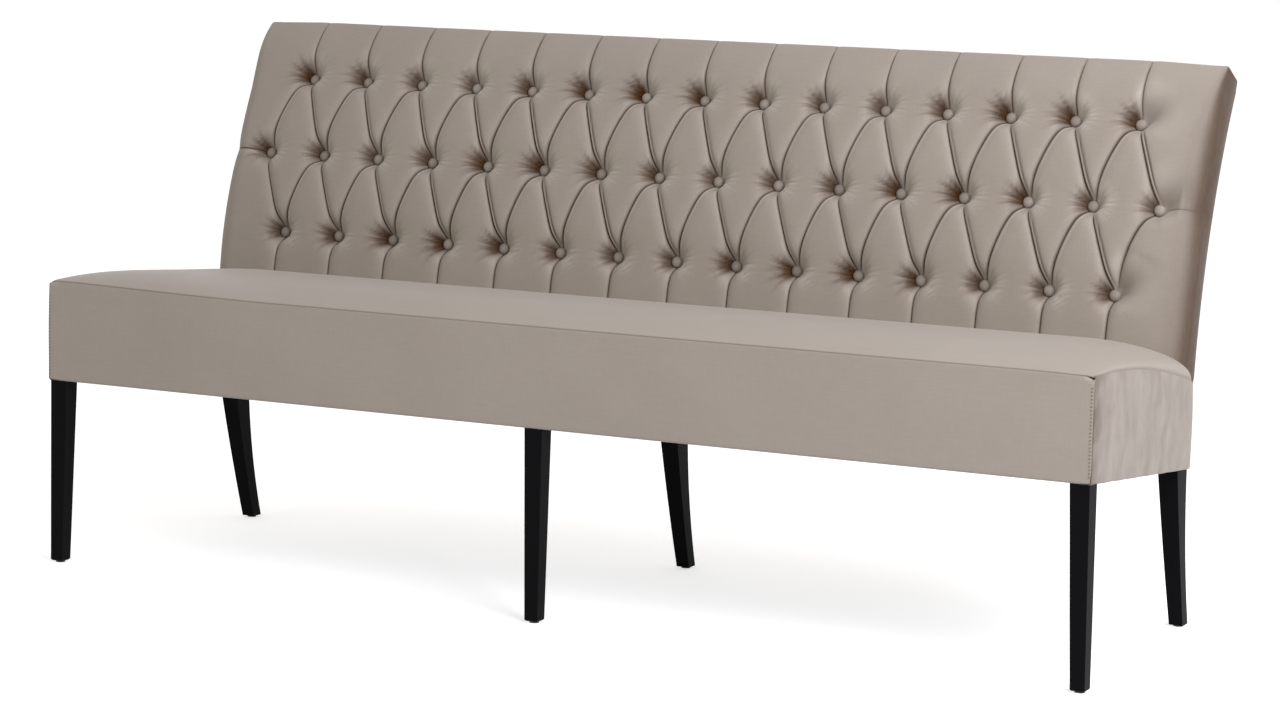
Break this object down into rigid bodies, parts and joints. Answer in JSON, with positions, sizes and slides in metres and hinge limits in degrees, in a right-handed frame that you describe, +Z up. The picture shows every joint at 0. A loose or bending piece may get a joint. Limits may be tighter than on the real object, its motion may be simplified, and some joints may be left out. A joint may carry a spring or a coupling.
{
  "type": "dining bench",
  "caption": "Upholstered dining bench with a deep-buttoned raked back, a domed seat in taupe velvet and black tapered legs.",
  "frame": {"origin": "centre of the bounding box on the floor", "axes": "+X along the bench to the sitter's left, -Y towards the front, +Z up"},
  "size_m": [1.9, 0.708, 0.92],
  "materials": {
    "velvet": "satin",
    "black_lacquer": "satin",
    "frame_wood": "matte",
    "plywood": "matte",
    "zinc_steel": "satin",
    "glide_plastic": "matte",
    "toggle_plastic": "matte",
    "twine": "matte",
    "webbing": "matte",
    "foam": "matte",
    "dust_cloth": "matte"
  },
  "bodies": {
    "root": {"back_lower_rail_left": "frame_wood", "back_lower_rail_right": "frame_wood", "back_pad": "velvet", "back_side_cover_left": "velvet", "back_side_cover_right": "velvet", "back_top_rail_left": "frame_wood", "back_top_rail_right": "frame_wood", "button_twines": "twine", "corner_blocks": "frame_wood", "corner_screws": "zinc_steel", "cross_rail_left": "frame_wood", "cross_rail_right": "frame_wood", "dust_cover": "dust_cloth", "floor_glides": "glide_plastic", "front_leg_left": "black_lacquer", "front_leg_middle": "black_lacquer", "front_leg_right": "black_lacquer", "front_rail_left": "frame_wood", "front_rail_right": "frame_wood", "outside_back_cover": "velvet", "post_bolts": "zinc_steel", "post_inserts": "zinc_steel", "rail_dowels": "frame_wood", "rear_leg_left": "black_lacquer", "rear_leg_middle": "black_lacquer", "rear_leg_right": "black_lacquer", "rear_rail": "frame_wood", "seat_cushion": "velvet", "seat_foam": "foam", "seat_front_border": "velvet", "seat_side_border_left": "velvet", "seat_side_border_right": "velvet", "seat_webbing": "webbing", "side_rail_left": "frame_wood", "side_rail_right": "frame_wood", "tuft_buttons": "velvet", "tufting_board": "plywood", "twine_toggles": "toggle_plastic"}
  },
  "joints": []
}
